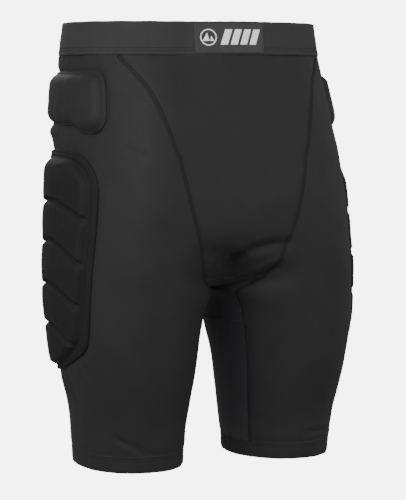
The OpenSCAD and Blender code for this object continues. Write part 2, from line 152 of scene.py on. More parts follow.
FRONT = np.array([[0, .42], [.134, .376], [.23, .312], [.31, .284], [.44, .25], [.55, .205], [.65, .165],
                  [.71, .138], [.80, .120], [.86, .108], [1, .0885], [2, .0885]])
BACK = np.array([[0, .72], [.134, .735], [.30, .770], [.50, .815], [.70, .86], [.80, .880], [.86, .892],
                 [1, .9115], [2, .9115]])


FINE = np.linspace(-0.2, 2.2, 2401)
BELL = np.exp(-(np.arange(-60, 61) / 26.0) ** 2)


def eased(table):
    """A seam line with its corners rounded."""
    line = np.interp(FINE, table[:, 0], table[:, 1])
    slope = (table[1, 1] - table[0, 1]) / (table[1, 0] - table[0, 0])
    low, high = table[0, 1] + (FINE - table[0, 0]) * slope, table[-1, 1]
    line = np.where(FINE < 0, low, line)
    ends = np.concatenate([np.full(60, line[0]), line, np.full(60, high)])
    return np.convolve(ends, BELL / BELL.sum(), "valid")


FRONT_LINE, BACK_LINE = eased(FRONT), eased(BACK)


def fs(v):
    return np.interp(v, FINE, FRONT_LINE)


def bs(v):
    return np.interp(v, FINE, BACK_LINE)


def v_at(z, col=NC // 2):
    return np.interp(-np.asarray(z, float), -BASE[:, col, 2], VV)


BAND_H, HEM_Z = 36.0, -461.0
V_BAND, V_HEM = float(v_at(-BAND_H)), float(v_at(HEM_Z))
HIP_C, THIGH_C = 14.0, 24.0
HIP_SHIFT = {1: 12.0, -1: 0.0}      # the left hip pad sits a little further back


# ---------------------------------------------------------------- pads laid out flat: s across, z up
def arc_table(col, reach):
    """For each row, t at every millimetre of arc either side of a column."""
    step = np.linalg.norm(np.diff(BASE, axis=1), axis=-1)
    run = np.concatenate([np.zeros((len(BASE), 1)), np.cumsum(step, 1)], 1)
    run -= run[:, col:col + 1]
    s = np.arange(-reach, reach + 1.0)
    return s, np.array([np.interp(s, run[i], UU) for i in range(len(BASE))])


SIDE_S, SIDE_T = arc_table(NC // 2, 200)
BACK_S, BACK_T = arc_table(NC, 120)


def bilinear(G, i, j):
    i0 = np.clip(np.floor(i).astype(int), 0, G.shape[0] - 2)
    j0 = np.clip(np.floor(j).astype(int), 0, G.shape[1] - 2)
    a, b = i - i0, j - j0
    if G.ndim == 3:
        a, b = a[..., None], b[..., None]
    return ((G[i0, j0] * (1 - b) + G[i0, j0 + 1] * b) * (1 - a)
            + (G[i0 + 1, j0] * (1 - b) + G[i0 + 1, j0 + 1] * b) * a)


def cubic(G, i, j):
    """Value of a grid at i, j: straight between rows, a smooth curve along each row."""
    i0 = np.clip(np.floor(i).astype(int), 0, G.shape[0] - 2)
    j0 = np.clip(np.floor(j).astype(int), 1, G.shape[1] - 3)
    a, b = (i - i0)[..., None], (j - j0)[..., None]
    w = (-0.5 * b + b * b - 0.5 * b ** 3, 1 - 2.5 * b * b + 1.5 * b ** 3, 0.5 * b + 2 * b * b - 1.5 * b ** 3,
         0.5 * (b ** 3 - b * b))
    return sum((G[i0, j0 - 1 + k] * (1 - a) + G[i0 + 1, j0 - 1 + k] * a) * w[k] for k in range(4))


def row_of(v):
    return np.where(v <= 1, v * NT, NT + (v - 1) * NL)


def side_vt(s, z):
    v = v_at(z)
    return v, bilinear(SIDE_T, row_of(v), s - SIDE_S[0])


def back_vt(s, z):
    v = v_at(z, NC)
    return v, bilinear(BACK_T, row_of(v), -np.abs(s) - BACK_S[0])


def smooth(x, a, b):
    x = np.clip((x - a) / (b - a), 0, 1)
    return x * x * (3 - 2 * x)


def rounded(points, n=400):
    """Closed smooth outline through a few points (s, z)."""
    p = np.array(points, float)
    m = len(p)
    q = np.arange(n) * m / n
    i = q.astype(int)
    f = (q - i)[:, None]
    a, b, c, d = p[(i - 1) % m], p[i % m], p[(i + 1) % m], p[(i + 2) % m]
    return 0.5 * (2 * b + (c - a) * f + (2 * a - 5 * b + 4 * c - d) * f * f + (3 * b - a - 3 * c + d) * f ** 3)


def to_outline(S, Z, ring):
    """Distance in millimetres from each point to an outline, positive inside."""
    P = np.stack([S.ravel(), Z.ravel()], -1)
    out = np.empty(len(P))
    a, b = ring, np.roll(ring, -1, 0)
    d = b - a
    for k in range(0, len(P), 4000):
        p = P[k:k + 4000, None]
        f = np.clip(((p - a) * d).sum(-1) / (d * d).sum(-1), 0, 1)[..., None]
        dist = np.linalg.norm(p - a - d * f, axis=-1).min(1)
        cross = ((a[:, 1] > p[..., 1]) != (b[:, 1] > p[..., 1])) & \
            (p[..., 0] < (b[:, 0] - a[:, 0]) * (p[..., 1] - a[:, 1]) / (b[:, 1] - a[:, 1] + 1e-12) + a[:, 0])
        out[k:k + 4000] = np.where(cross.sum(1) % 2 == 1, dist, -dist)
    return out.reshape(S.shape)


def superellipse(sc, zc, w, h, top, low, n=400):
    a = np.arange(n) * 2 * pi / n
    c, s = np.cos(a), np.sin(a)
    k = np.where(s > 0, top, low)
    r = (np.abs(c) ** k + np.abs(s) ** k) ** (-1 / k)
    return np.stack([sc + w / 2 * r * c, zc + h / 2 * r * s], -1)


THIGH_FRONT = [(-5, -137.5), (-23, -139), (-38, -143), (-49, -149.5), (-57, -158), (-62.5, -168),
               (-64.5, -179), (-64, -198), (-62.5, -219), (-60, -241), (-57.5, -266), (-54.5, -292),
               (-51.5, -318), (-49, -333), (-45, -343.5), (-37.5, -351), (-25.5, -357.5), (-11.5, -364),
               (6, -370.5)]
THIGH_RING = rounded([(THIGH_C, -137)] + THIGH_FRONT + [(THIGH_C, -374.5)]
                     + [(42, -377.5), (59.5, -374), (73.5, -366.5), (85.5, -356)]
                     + [(2 * THIGH_C - a, b) for a, b in THIGH_FRONT[-5::-1]], 640)
HIP_RING = rounded([(-67, -70), (-62, -57.5), (-46, -54), (10, -53.5), (66, -54), (88, -58), (95, -70),
                    (96, -96), (89, -108), (72, -112), (20, -111.5), (-12, -111.5), (-24, -114.5),
                    (-34, -118.3), (-52, -119.5), (-64, -115), (-70, -104), (-69.5, -88)])
TAIL_RING = superellipse(0, -170, 94, 128, 3.2, 2.6)


# ---------------------------------------------------------------- folds, dips and puckers of the knit
# (side, depth with ridges positive, half width, points in mm). A side of 1 or -1 puts points given
# for the left half on that side, and 0 leaves them where they are.
FOLDS = [
    (0, -7.0, 7.0, [(50, -127, -237), (36, -126, -238), (19, -124, -241), (6, -121, -246), (-4, -113, -256),
                    (-8, -96, -270)]),
    (0, -8.5, 15.0, [(-44, -127, -246), (-24, -124, -250), (-8, -112, -259), (0, -84, -276)]),
    (0, 3.0, 4.5, [(47, -122, -252), (35, -117, -257), (18, -104, -267), (13, -90, -275)]),
    (0, -2.4, 3.8, [(46, -113, -264), (32, -104, -270), (22, -86, -281)]),
    (0, -2.4, 5.0, [(152, -8, -446), (148, -36, -447), (136, -66, -449)]),
    (0, 1.0, 4.0, [(152, -8, -455), (147, -36, -456), (136, -66, -457)]),
    (0, -1.7, 3.4, [(-131, -80, -440), (-122, -86, -446), (-114, -90, -450), (-104, -92, -459)]),
    (0, -1.3, 2.6, [(-119, -88, -441), (-107, -92, -450), (-95, -94, -458)]),
    (0, 0.9, 3.0, [(-126, -84, -438), (-112, -91, -446), (-100, -93, -455)]),
    (0, -1.5, 3.0, [(126, -84, -452), (108, -92, -450), (92, -95, -450)]),
    (0, 0.8, 3.4, [(127, -84, -446), (108, -91, -443), (90, -95, -443)]),
    (0, -1.6, 3.2, [(-160, -56, -357), (-157, -66, -368), (-153, -69, -382)]),
    (0, -2.2, 2.6, [(-156, 14, -380), (-154, 12, -392), (-151, 10, -408)]),
    (0, -2.4, 2.6, [(-160, -2, -380), (-158, -7, -392), (-154, -16, -412)]),
    (0, -2.4, 2.6, [(-162, -22, -376), (-160, -28, -390), (-155, -36, -410)]),
    (0, 1.4, 2.8, [(-161, -12, -380), (-159, -17, -392), (-154, -26, -410)]),
    (0, 1.4, 2.8, [(-158, 6, -381), (-156, 3, -393), (-152, -4, -408)]),
    (0, -2.0, 2.4, [(-161, -40, -368), (-159, -47, -380), (-153, -54, -396)]),
    (0, -1.3, 2.8, [(158, 14, -372), (156, 12, -388), (152, 10, -402)]),
    (0, -1.4, 3.0, [(163, -12, -372), (160, -16, -388), (156, -22, -403)]),
    (0, -1.3, 3.0, [(160, -52, -360), (156, -60, -372), (151, -64, -388)]),
    (1, -3.0, 9, [(26, 72, -286), (58, 90, -293), (98, 84, -299)]),
    (1, 1.4, 6, [(34, 72, -299), (64, 84, -306), (100, 78, -312)]),
    (-1, -2.6, 9, [(24, 70, -284), (60, 90, -291), (102, 82, -298)]),
    (-1, -1.6, 5, [(52, 78, -318), (78, 76, -324), (104, 64, -330)]),
    (0, -1.4, 5, [(60, 70, -338), (86, 66, -346), (112, 54, -350)]),
    (0, -1.2, 4, [(-64, 52, -392), (-92, 56, -398), (-118, 44, -396)]),
    (0, -1.2, 3.4, [(66, 46, -440), (92, 49, -447), (116, 38, -450)]),
    (0, -1.0, 5, [(-96, -124, -150), (-112, -112, -140), (-124, -96, -134)]),
    (0, -0.9, 6, [(94, -126, -170), (112, -114, -156), (126, -98, -148)]),
    (0, -1.2, 4, [(-30, -60, -340), (-44, -84, -350), (-62, -100, -356)]),
    (0, -1.2, 4, [(30, -62, -344), (46, -86, -352), (64, -102, -362)]),
    (0, -1.0, 3.4, [(36, -56, -430), (50, -74, -436), (70, -88, -444)]),
]


def fold_field(X):
    D = np.zeros(X.shape[:-1])
    for side, depth, width, pts in FOLDS:
        p = np.array(pts, float)
        if side:
            p = p * (side, 1, 1)
        lo, hi = p.min(0) - 3 * width, p.max(0) + 3 * width
        m = ((X > lo) & (X < hi)).all(-1)
        if not m.any():
            continue
        x = X[m]
        seg = np.linalg.norm(np.diff(p, axis=0), axis=1)
        at = np.concatenate([[0], np.cumsum(seg)]) / seg.sum()
        best, where = np.full(len(x), 1e9), np.zeros(len(x))
        for k in range(len(p) - 1):
            d = p[k + 1] - p[k]
            f = np.clip(((x - p[k]) @ d) / (d @ d), 0, 1)
            r = np.linalg.norm(x - p[k] - f[:, None] * d, axis=1)
            better = r < best
            best[better] = r[better]
            where[better] = (at[k] + f * (at[k + 1] - at[k]))[better]
        taper = 0.35 + 0.65 * np.sin(pi * np.clip(where, 0.04, 0.96)) ** 0.7
        D[m] += depth * taper * np.exp(-(best / width) ** 2)
    return D


WAVES = np.random.default_rng(7).normal(0, 1, (9, 5))


def undulation(X, size, amp, k0=0):
    D = np.zeros(X.shape[:-1])
    for w in WAVES[k0:k0 + 5]:
        D += np.sin(X @ (w[:3] * 2 * pi / size) + w[3] * 9)
    return D * amp / 2.2


def surface_for(side):
    """The worn surface of one half with its folds, kept in left-hand coordinates."""
    X = BASE * (side, 1, 1)
    D = fold_field(X) + undulation(X, 150, 0.75) + undulation(X, 48, 0.16, 3)
    scale = np.linalg.norm(np.gradient(BASE, axis=1), axis=-1) * NC
    for line in (fs, bs):
        d = np.abs(UU[None] - line(VV)[:, None]) * scale
        D -= 0.55 * np.exp(-(d / 5) ** 2)
    z = BASE[..., 2]
    down = np.clip(-BAND_H - z, 0, None)
    around = np.cumsum(np.linalg.norm(np.diff(BASE, axis=1, prepend=BASE[:, :1]), axis=-1), 1)
    D += 0.22 * side * np.sin(around / 3.1 + 1.3 * np.sin(around / 19)) * np.exp(-down / 9)
    hem = np.clip(z - HEM_Z, 0, None)
    D += 0.2 * np.sin(around / 2.7 + np.sin(around / 15)) * np.exp(-hem / 7) * (VV > 1)[:, None]
    D -= 0.7 * np.exp(-(hem / 3.5) ** 2) * (VV > 1)[:, None]
    # Under a pad the fabric lies flat, and its edge pulls the fabric in a little.
    run = around - around[:, NC // 2:NC // 2 + 1]
    zs = BASE[:, NC // 2, 2][:, None] + 0 * run
    zb = BASE[:, NC, 2][:, None] + 0 * run
    dist = np.full(BASE.shape[:2], -999.0)
    channel = 0 * dist
    for ring, S, Z in ((THIGH_RING, run, zs), (HIP_RING, run - HIP_SHIFT[side], zs),
                       (TAIL_RING, around - around[:, -1:], zb)):
        lo, hi = ring.min(0) - 40, ring.max(0) + 40
        m = (S > lo[0]) & (S < hi[0]) & (Z > lo[1]) & (Z < hi[1])
        if m.any():
            d = to_outline(S[m], Z[m], ring)
            dist[m] = np.maximum(dist[m], d)
            if ring is HIP_RING:
                open_ = smooth(S[m], 10, 34) * smooth(-Z[m], 96, 108) if side < 0 else 0
                channel[m] = -1.3 * np.exp(-((d + 0.4) / 3.0) ** 2) * (1 - open_)
    D *= smooth(-dist, -1, 9) * 0.999 + 0.001
    D += 0.35 * np.exp(-((dist + 9) / 6) ** 2) - 0.45 * np.exp(-((dist + 1) / 3.5) ** 2)
    D += pull(side, run, zs) + channel
    if side < 0:        # the fabric bridges from the hip pad's lower edge
        D += 4.0 * np.exp(-((zs + 118) / 8.0) ** 2 - ((run - 58) / 26.0) ** 2)
    D *= smooth(np.linalg.norm(BASE - CROTCH, axis=-1), 6, 34)
    P = BASE + NBASE * D[..., None]
    return padded_cols(P), padded_cols(normals(P))


def pull(side, s, z):
    """The wearer's right side is drawn in between the hip pad and the thigh pad."""
    return -3.0 * np.exp(-((z + 138) / 9.0) ** 2 - ((s - 48) / 34.0) ** 2) * (side < 0)


GRID = {side: surface_for(side) for side in (1, -1)}
GRID[0] = (padded_cols(BASE), padded_cols(NBASE))


def sample(side, v, t, plain=False):
    """Point and outward normal at v, t. side is 1 for the wearer's left and -1 for the right."""
    v, t = np.broadcast_arrays(np.asarray(v, float), np.asarray(t, float))
    over = (v <= 1) & ((t < 0) | (t > 1))
    u = np.where(v > 1, t % 1.0, np.where(t < 0, -t, np.where(t > 1, 2 - t, t)))
    i, j = row_of(v), u * NC
    P, N = (cubic(g, i, j + 1) for g in GRID[0 if plain else side])
    if over.any() and not plain:
        P2, N2 = (cubic(g, i, j + 1) for g in GRID[-side])
        P, N = np.where(over[..., None], P2, P), np.where(over[..., None], N2, N)
    sgn = np.where(over, -side, side)[..., None] * np.array([1.0, 0, 0]) + np.array([0, 1.0, 1.0])
    return P * sgn, N * sgn / np.linalg.norm(N, axis=-1, keepdims=True)


# ---------------------------------------------------------------- mesh helpers (numpy, millimetres)
def quads(n, m, wrap=False, start=0):
    i, j = np.meshgrid(np.arange(n - 1), np.arange(m if wrap else m - 1), indexing="ij")
    a, b = i * m + j, i * m + (j + 1) % m
    return np.stack([a, a + m, b + m, b], -1).reshape(-1, 4) + start


def face_normals(P, Q):
    return np.cross(P[Q[:, 2]] - P[Q[:, 0]], P[Q[:, 3]] - P[Q[:, 1]])


def vertex_normals(P, Q):
    f = face_normals(P, Q)
    n = np.zeros_like(P)
    for k in range(4):
        np.add.at(n, Q[:, k], f)
    return n / np.maximum(np.linalg.norm(n, axis=1, keepdims=True), 1e-9)


def facing(P, Q, N):
    """Quads turned so that they face along N."""
    return Q if (face_normals(P, Q) * N[Q[:, 0]]).sum() > 0 else Q[:, ::-1]


def thicken(P, Q, out, inn, N=None):
    """Closed cloth of a given thickness round a mid-surface. Returns points, quads and the mid index of each."""
    if N is None:
        N = vertex_normals(P, Q)
    k = len(P)
    e = np.concatenate([Q[:, [a, (a + 1) % 4]] for a in range(4)]).astype(np.int64)
    rim = e[~np.isin(e[:, 0] * k + e[:, 1], e[:, 1] * k + e[:, 0])]
    out = np.asarray(out, float).reshape(-1, 1) if np.ndim(out) else out
    inn = np.asarray(inn, float).reshape(-1, 1) if np.ndim(inn) else inn
    V = np.concatenate([P + N * out, P + N * inn])
    F = np.concatenate([Q, Q[:, ::-1] + k, np.stack([rim[:, 1], rim[:, 0], rim[:, 0] + k, rim[:, 1] + k], -1)])
    return V, F, np.concatenate([np.arange(k), np.arange(k)])


def weld(P, Q, *data):
    _, first, inv = np.unique(np.round(P, 3), axis=0, return_index=True, return_inverse=True)
    return (P[first], inv.ravel()[Q], *[d[first] for d in data])


def make(name, P, F, mat, fab=None, smooth_faces=True):
    """Mesh object from points in mm and quads. fab is the place on the flat cloth, in mm."""
    me = bpy.data.meshes.new(name)
    me.vertices.add(len(P))
    me.vertices.foreach_set("co", (P / 1000).astype(np.float32).ravel())
    me.loops.add(F.size)
    me.loops.foreach_set("vertex_index", F.astype(np.int32).ravel())
    me.polygons.add(len(F))
    me.polygons.foreach_set("loop_start", np.arange(0, F.size, 4, dtype=np.int32))
    me.polygons.foreach_set("use_smooth", np.full(len(F), smooth_faces))
    me.update(calc_edges=True)
    me.validate()
    if len(me.vertices) == len(P):
        a = me.attributes.new("fab", "FLOAT_VECTOR", "POINT")
        a.data.foreach_set("vector", (P if fab is None else fab).astype(np.float32).ravel())
        a = me.attributes.new("rest", "FLOAT_VECTOR", "POINT")
        a.data.foreach_set("vector", P.astype(np.float32).ravel())
    me.materials.append(mat)
    ob = bpy.data.objects.new(name, me)
    bpy.context.scene.collection.objects.link(ob)
    return ob


def crease_blend(ob):
    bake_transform(ob)


# ---------------------------------------------------------------- materials
def node(nt, kind, **values):
    n = nt.nodes.new(kind)
    for k, val in values.items():
        if k.startswith("in_"):
            key = k[3:]
            n.inputs[int(key) if key.isdigit() else key.replace("_", " ")].default_value = val
        else:
            setattr(n, k, val)
    return n


def math_node(nt, op, a, b=None):
    n = node(nt, "ShaderNodeMath", operation=op)
    for k, x in enumerate((a, b)):
        if x is None:
            continue
        if isinstance(x, (int, float)):
            n.inputs[k].default_value = x
        else:
            nt.links.new(x, n.inputs[k])
    return n.outputs[0]


def cloth(name, colour, rough=0.8, sheen=0.3, rib=1.15, rib_h=0.10, course=1.5, fuzz=0.05, mottle=0.10, lines=0.0,
          sheen_tint=(0.9, 0.92, 1.0), spec=0.3):
    """Knit or woven fabric: ribs and courses from the flat cloth place, mottling and fuzz from noise."""
    m = bpy.data.materials.new(name)
    m.use_nodes = True
    nt = m.node_tree
    bsdf = nt.nodes["Principled BSDF"]
    fab = node(nt, "ShaderNodeAttribute", attribute_name="fab")
    rest = node(nt, "ShaderNodeAttribute", attribute_name="rest")
    sep = node(nt, "ShaderNodeSeparateXYZ")
    nt.links.new(fab.outputs["Vector"], sep.inputs[0])
    x, y = sep.outputs[0], sep.outputs[1]
    # Each rib is a column of V-shaped loops.
    across = math_node(nt, "PINGPONG", x, rib / 2)
    rise = math_node(nt, "MULTIPLY", across, 2 / rib)
    slant = math_node(nt, "ADD", y, across)
    loop = math_node(nt, "MULTIPLY", math_node(nt, "PINGPONG", slant, course / 2), 2 / course)
    knit = math_node(nt, "ADD", math_node(nt, "MULTIPLY", rise, 0.6), math_node(nt, "MULTIPLY", loop, 0.4))
    if lines:
        ridge = math_node(nt, "MULTIPLY", math_node(nt, "PINGPONG", y, lines / 2), 2 / lines)
        knit = math_node(nt, "ADD", math_node(nt, "MULTIPLY", knit, 0.4), ridge)

    def noise(scale, detail, rough_):
        n = node(nt, "ShaderNodeTexNoise", in_Scale=scale, in_Detail=detail, in_Roughness=rough_)
        nt.links.new(rest.outputs["Vector"], n.inputs["Vector"])
        return n.outputs["Fac"]

    broad, fine, hair = noise(0.035, 3.0, 0.6), noise(0.32, 4.0, 0.65), noise(1.7, 2.0, 0.5)
    shade = math_node(nt, "ADD", math_node(nt, "MULTIPLY", broad, 0.6), math_node(nt, "MULTIPLY", fine, 0.4))
    shade = math_node(nt, "ADD", shade, math_node(nt, "MULTIPLY", knit, 0.18))
    ramp = node(nt, "ShaderNodeMapRange", in_1=0.3, in_2=0.85, in_3=1 - mottle, in_4=1 + mottle)
    nt.links.new(shade, ramp.inputs[0])
    mix = node(nt, "ShaderNodeVectorMath", operation="SCALE")
    mix.inputs[0].default_value = colour
    nt.links.new(ramp.outputs[0], mix.inputs["Scale"])
    nt.links.new(mix.outputs[0], bsdf.inputs["Base Color"])
    rr = node(nt, "ShaderNodeMapRange", in_1=0.3, in_2=0.7, in_3=rough - 0.06, in_4=rough + 0.06)
    nt.links.new(fine, rr.inputs[0])
    nt.links.new(rr.outputs[0], bsdf.inputs["Roughness"])
    b1 = node(nt, "ShaderNodeBump", in_Strength=0.55, in_Distance=rib_h / 1000)
    nt.links.new(knit, b1.inputs["Height"])
    b2 = node(nt, "ShaderNodeBump", in_Strength=0.5, in_Distance=fuzz / 1000)
    nt.links.new(math_node(nt, "ADD", hair, fine), b2.inputs["Height"])
    nt.links.new(b1.outputs[0], b2.inputs["Normal"])
    nt.links.new(b2.outputs[0], bsdf.inputs["Normal"])
    bsdf.inputs["Sheen Weight"].default_value = sheen
    bsdf.inputs["Sheen Roughness"].default_value = 0.45
    bsdf.inputs["Sheen Tint"].default_value = (*sheen_tint, 1)
    bsdf.inputs["Specular IOR Level"].default_value = spec
    return m


KNIT = cloth("knit", (0.031, 0.031, 0.0325), rough=0.68, sheen=0.05, spec=0.32, rib_h=0.014)
# Smooth knit of the inner legs and gusset: a fabric of its own whose colour is also raised as painted light,
# standing in for light the inner leg does not get.
SMOOTH_PAINTED_LIGHT = cloth("smooth_knit", (0.040, 0.040, 0.0445), rough=0.58, sheen=0.04, rib=0.9, course=1.1,
               rib_h=0.012, spec=0.4)
BAND = cloth("waistband", (0.052, 0.052, 0.054), rough=0.76, sheen=0.06, rib=0.8, course=0.8, lines=1.6,
             rib_h=0.08)
HEM = cloth("hem", (0.031, 0.031, 0.0325), rough=0.68, sheen=0.05, rib_h=0.014)
PADF = cloth("pad_face", (0.0190, 0.0190, 0.0200), rough=0.72, sheen=0.02, rib=0.57, course=0.63,
             rib_h=0.004, spec=0.28)
THREAD = cloth("thread", (0.023, 0.023, 0.024), rough=0.7, sheen=0.05, rib=0.5, course=0.7, rib_h=0.05)
LABEL = cloth("label", (0.054, 0.054, 0.056), rough=0.55, sheen=0.1, rib=0.45, course=0.45, rib_h=0.04,
              mottle=0.05, spec=0.5)
MARK_GLOW = cloth("label_print_glow", (0.95, 0.95, 0.95), rough=0.5, sheen=0.05, rib=0.45, course=0.45, rib_h=0.02,
             mottle=0.03)
# The white print also glows faintly (emission 0.4): painted light that makes it read brighter than its lit white
# colour.
MARK_GLOW.node_tree.nodes["Principled BSDF"].inputs["Emission Color"].default_value = (1, 1, 1, 1)
MARK_GLOW.node_tree.nodes["Principled BSDF"].inputs["Emission Strength"].default_value = 0.4


# ---------------------------------------------------------------- sheets of knit
def sheet_piece(name, P, Q, N, fab, mat, nodes):
    Q = facing(P, Q, N)
    V, F, k = thicken(P, Q, 0.7, -0.7)
    ob = make(name, V, F, mat, fab[k])
    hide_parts(*nodes)
    return ob


DENSE = 1.0


def count(n):
    return max(8, int(n * DENSE))


def grid_fab(P, mid):
    """Flat place of each point of a grid: arc from a middle column, and length down it."""
    a = np.concatenate([np.zeros((len(P), 1)), np.cumsum(np.linalg.norm(np.diff(P, axis=1), axis=-1), 1)], 1)
    a -= a[:, mid:mid + 1]
    d = np.concatenate([[0], np.cumsum(np.linalg.norm(np.diff(P[:, mid], axis=0), axis=-1))])
    return np.stack([a, np.repeat(d[:, None], P.shape[1], 1), 0 * a], -1)


def panel_piece(name, side, v, t_of, cols, mat, nodes):
    a = np.linspace(0, 1, cols)
    V = np.repeat(v[:, None], cols, 1)
    P, N = sample(side, V, t_of(V, a[None]))
    fab = grid_fab(P, cols // 2)
    return sheet_piece(name, P.reshape(-1, 3), quads(len(v), cols), N.reshape(-1, 3), fab.reshape(-1, 3), mat,
                       nodes)


V_TOP = float(v_at(-29))
V_SPLIT = 0.85
SIDES = ((1, "left"), (-1, "right"))
v_trunk = np.linspace(V_TOP, V_SPLIT, count(170))
front = panel_piece("front_fabric", 1, v_trunk, lambda v, a: fs(v) * (2 * a - 1), count(170), KNIT,
                    ["front_panel"])
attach(front, "trunk")
seat = panel_piece("seat_fabric", 1, v_trunk, lambda v, a: bs(v) + (2 - 2 * bs(v)) * a, count(150), KNIT,
                   ["seat_panel"])
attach(seat, "trunk")
V_CROSS = 1.33
for side, word in SIDES:
    v = np.concatenate([np.linspace(V_TOP, 1, count(190)), np.linspace(1, V_HEM + 0.015, count(120))[1:]])
    ob = panel_piece(f"side_leg_fabric_{word}", side, v, lambda v, a: fs(v) + (bs(v) - fs(v)) * a, count(210), KNIT,
                     [f"side_panel_{word}", f"hip_flex_{word}", f"outer_leg_panel_{word}"])
    crease_blend(ob)
    v = np.linspace(V_CROSS, V_HEM + 0.015, count(110))
    ob = panel_piece(f"inner_leg_fabric_{word}", side, v, lambda v, a: INNER_T * (2 * a - 1), count(56), SMOOTH_PAINTED_LIGHT,
                     [f"inner_leg_panel_{word}"])
    crease_blend(ob)
    # Half of the gusset: two trunk patches meet at the crotch point and run on down the leg.
    n, k = count(44), count(26)
    c = np.linspace(0, 1, k)
    vt_, vl = np.linspace(V_SPLIT, 1, n), np.linspace(1, V_CROSS, count(40))
    parts = []
    for V, T in ((np.repeat(vt_[:, None], k, 1), fs(vt_)[:, None] * c),
                 (np.repeat(vt_[:, None], k, 1), 1 - (1 - bs(vt_))[:, None] * c[::-1]),
                 (np.repeat(vl[:, None], 2 * k - 1, 1),
                  np.repeat([INNER_T * np.linspace(-1, 1, 2 * k - 1)], len(vl), 0))):
        P, N = sample(side, V, T)
        parts.append((P.reshape(-1, 3), N.reshape(-1, 3), quads(*V.shape)))
    P, N, Q = [], [], []
    for p, nn, q in parts:
        q = facing(p, q, nn) + sum(map(len, P))
        P.append(p), N.append(nn), Q.append(q)
    P, Q, N = weld(np.concatenate(P), np.concatenate(Q), np.concatenate(N))
    keep = np.array([len(set(q)) == 4 for q in Q])
    Q = Q[keep]
    fab = np.stack([P[:, 0] * side, P[:, 1] - P[:, 2], 0 * P[:, 0]], -1)
    ob = sheet_piece(f"gusset_fabric_{word}", P, Q, N, fab, SMOOTH_PAINTED_LIGHT,
                     [f"gusset_wing_{word}"] + (["crotch_gusset"] if side > 0 else []))
    crease_blend(ob)


# ---------------------------------------------------------------- bars of thread and seam ribbons
def length_along(C):
    """Length along a line of points, from its first point."""
    return np.concatenate([[0], np.cumsum(np.linalg.norm(np.diff(C, axis=0), axis=1))])


def points_at(x, run, X):
    """Values of X, one row for each length in run, at the lengths x."""
    return np.stack([np.interp(x, run, X[:, k]) for k in range(3)], -1)


def end_caps(n, m):
    """Quads that close both ends of a tube of n rings of m points, m even."""
    caps = []
    for row in (0, n - 1):
        for j in range(m // 2 - 1):
            q = [row * m + x for x in (j, j + 1, m - 2 - j, m - 1 - j)]
            caps.append(q if row == 0 else q[::-1])
    return np.array(caps)


def capsules(A, B, N, width, height, sides=6, rings=5):
    """Rounded stitches from A to B, flattened on the cloth whose normal is N. A, B, N are (n, 3)."""
    n = len(A)
    along = B - A
    L = np.linalg.norm(along, axis=1, keepdims=True)
    along = along / L
    across = np.cross(N, along)
    across /= np.linalg.norm(across, axis=1, keepdims=True)
    up = np.cross(along, across)
    x = np.cos(np.linspace(0, pi, rings)) * -0.5
    r = np.sqrt(np.clip(1 - (2 * x) ** 4, 0.02, 1))
    a = np.arange(sides) * 2 * pi / sides
    P = ((A + B) / 2)[:, None, None] + along[:, None, None] * (x[:, None] * L[:, :, None])[..., None] \
        + across[:, None, None] * (r[:, None] * np.cos(a) * width / 2)[None, :, :, None] \
        + up[:, None, None] * (r[:, None] * np.sin(a) * height / 2)[None, :, :, None]
    base = np.arange(n)[:, None, None] * rings * sides
    Q = quads(rings, sides, wrap=True)[None] + base
    caps = end_caps(rings, sides)[None] + base
    P = P.reshape(-1, 3)
    Q = np.concatenate([Q.reshape(-1, 4), caps.reshape(-1, 4)])
    return P, Q


def outward(P, Q):
    """Turns closed small solids outward by the sign of their volume."""
    c = P.mean(0)
    vol = np.einsum("ij,ij->i", P[Q].mean(1) - c, face_normals(P, Q)).sum()
    return Q if vol > 0 else Q[:, ::-1]


def join(parts):
    P, Q, k = [], [], 0
    for p, q in parts:
        P.append(p), Q.append(q + k)
        k += len(p)
    return np.concatenate(P), np.concatenate(Q)


def tube_section(C, A, U, section):
    """Sweeps a closed section, pairs of (across, up) in mm, along points C with frames A and U."""
    s = np.array(section)
    P = C[:, None] + A[:, None] * s[None, :, :1] + U[:, None] * s[None, :, 1:]
    n, m = P.shape[:2]
    Q = quads(n, m, wrap=True)
    P = P.reshape(-1, 3)
    Q = np.concatenate([Q, end_caps(n, m)])
    # orient by the first section's side faces against their offset from the centre line
    mid = np.repeat(C, m, 0)
    f = face_normals(P, Q[:(n - 1) * m])
    if (f * (P[Q[:(n - 1) * m, 0]] - mid[Q[:(n - 1) * m, 0]])).sum() < 0:
        Q = Q[:, ::-1]
    return P, Q


RIBBON = [(-2.2, 0.35), (2.2, 0.35), (2.35, 0.75), (1.9, 1.1), (1.0, 1.22), (0, 1.16), (-1.0, 1.22), (-1.9, 1.1),
          (-2.35, 0.75), (-2.3, 0.5)]


def seam_piece(name, C, T, N, mat=THREAD, pitch=1.7, width=2.0):
    """A flat-lock seam along points C with tangents T on cloth with normals N, and its thread loops."""
    A = np.cross(N, T)
    A /= np.linalg.norm(A, axis=1, keepdims=True)
    parts = [tube_section(C, A, N, RIBBON)]
    run = length_along(C)
    s = np.arange(1.0, run[-1] - 1, pitch)
    c, a, nn, tt = (points_at(s, run, X) for X in (C, A, N, T))
    lean = tt * (0.45 * np.where(np.arange(len(s)) % 2, 1, -1))[:, None]
    parts.append(capsules(c - a * width + lean + nn * 1.15, c + a * width - lean + nn * 1.15, nn, 0.62, 0.5))
    s = np.arange(1.4, run[-1] - 1.4, 2.6)
    c, a, nn, tt = (points_at(s, run, X) for X in (C, A, N, T))
    for off in (-1.55, 1.55):
        mid = c + a * off + nn * 1.28
        parts.append(capsules(mid - tt * 1.1, mid + tt * 1.1, nn, 0.5, 0.42))
    P, Q = join(parts)
    ob = make(name, P, Q, mat)
    return ob


def line_on(side, v, t):
    P, N = sample(side, v, t)
    T = np.gradient(P, axis=0)
    T /= np.linalg.norm(T, axis=1, keepdims=True)
    return P, T, N


